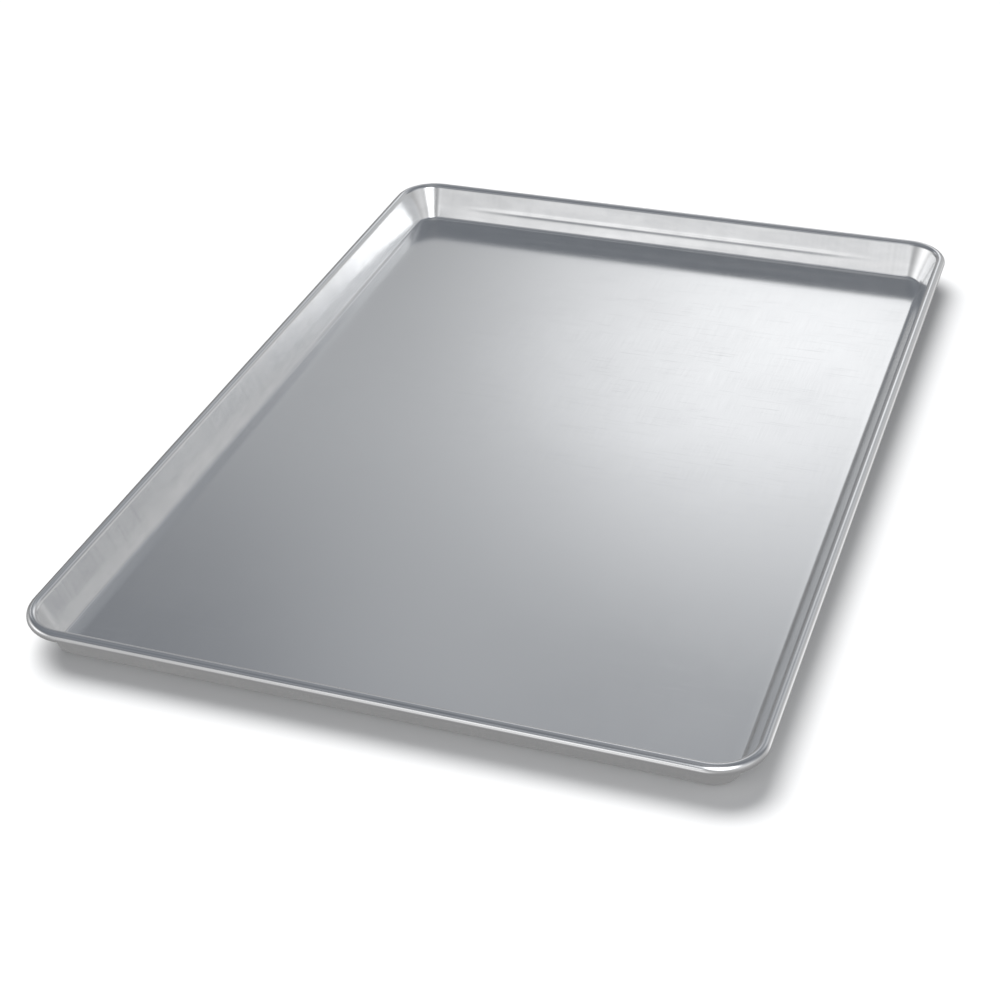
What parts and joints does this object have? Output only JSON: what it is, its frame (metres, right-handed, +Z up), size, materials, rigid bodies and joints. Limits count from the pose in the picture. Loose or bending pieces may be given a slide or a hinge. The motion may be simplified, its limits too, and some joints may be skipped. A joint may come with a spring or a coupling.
{
  "type": "sheet pan",
  "caption": "Shallow rectangular baking pan with a flat floor, leaning walls, rounded corners and a rim curled around a wire.",
  "frame": {"origin": "centre of the underside of the floor", "axes": "+Z up out of the pan, +Y along its length, +X across its width"},
  "size_m": [0.454, 0.657, 0.027],
  "materials": {
    "bare_aluminium": "mill finish sheet, satin",
    "galvanised_wire": "galvanised, dull"
  },
  "bodies": {
    "root": {"pan_shell": "bare_aluminium", "rim_wire": "galvanised_wire"}
  },
  "joints": []
}
